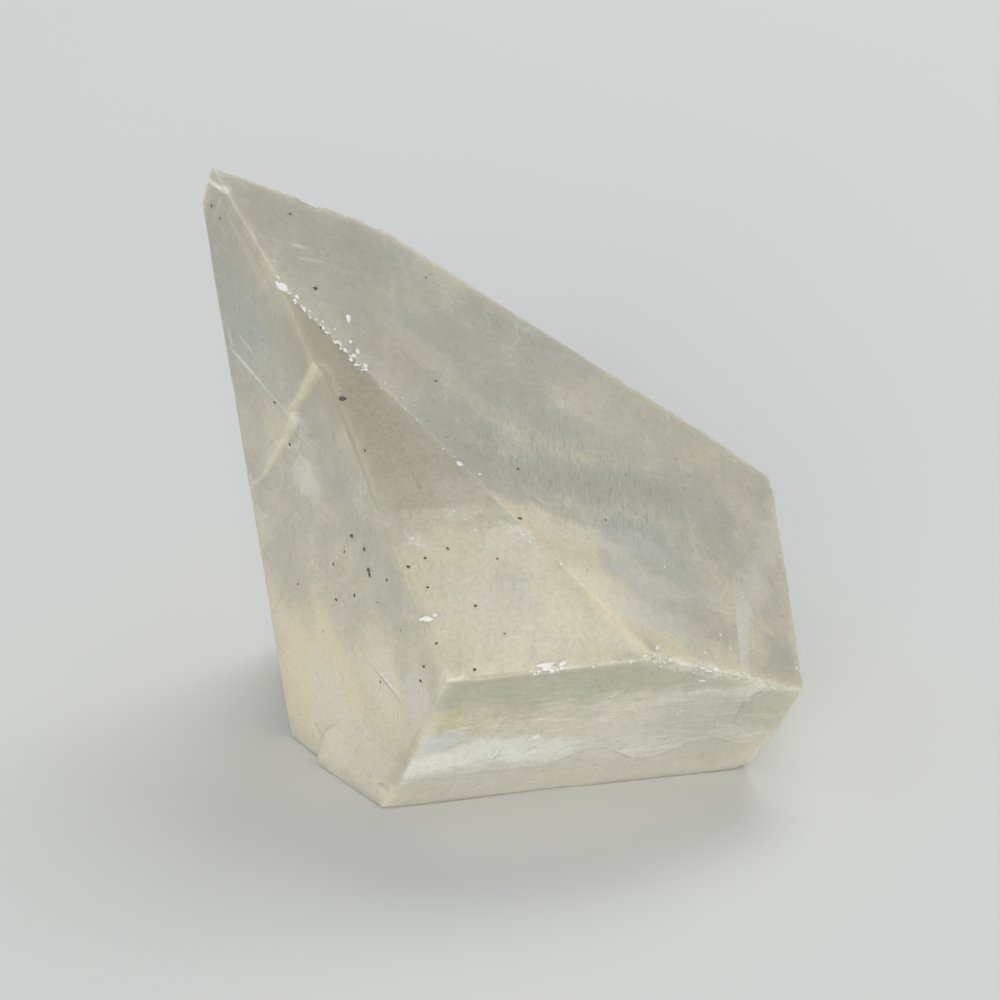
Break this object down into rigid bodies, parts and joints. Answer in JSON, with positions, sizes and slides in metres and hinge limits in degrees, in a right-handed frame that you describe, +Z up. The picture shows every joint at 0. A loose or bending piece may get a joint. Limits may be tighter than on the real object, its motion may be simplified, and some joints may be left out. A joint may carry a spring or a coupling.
{
  "type": "calcite crystal point",
  "caption": "Milky calcite dog-tooth crystal point with flat faces and a leaning tip, cleaved at its foot and resting on the flat break.",
  "frame": {"origin": "on the rest face, under the middle of the crystal's box", "axes": "+Z up from the rest face, -Y towards the low front cleavage face, +X towards the right-hand cleavage face, away from the tip"},
  "size_m": [0.0374, 0.0346, 0.0355],
  "materials": {
    "calcite": "milky, translucent, satin growth faces and fresh cleavage"
  },
  "bodies": {
    "root": {"calcite_crystal": "calcite"}
  },
  "joints": []
}
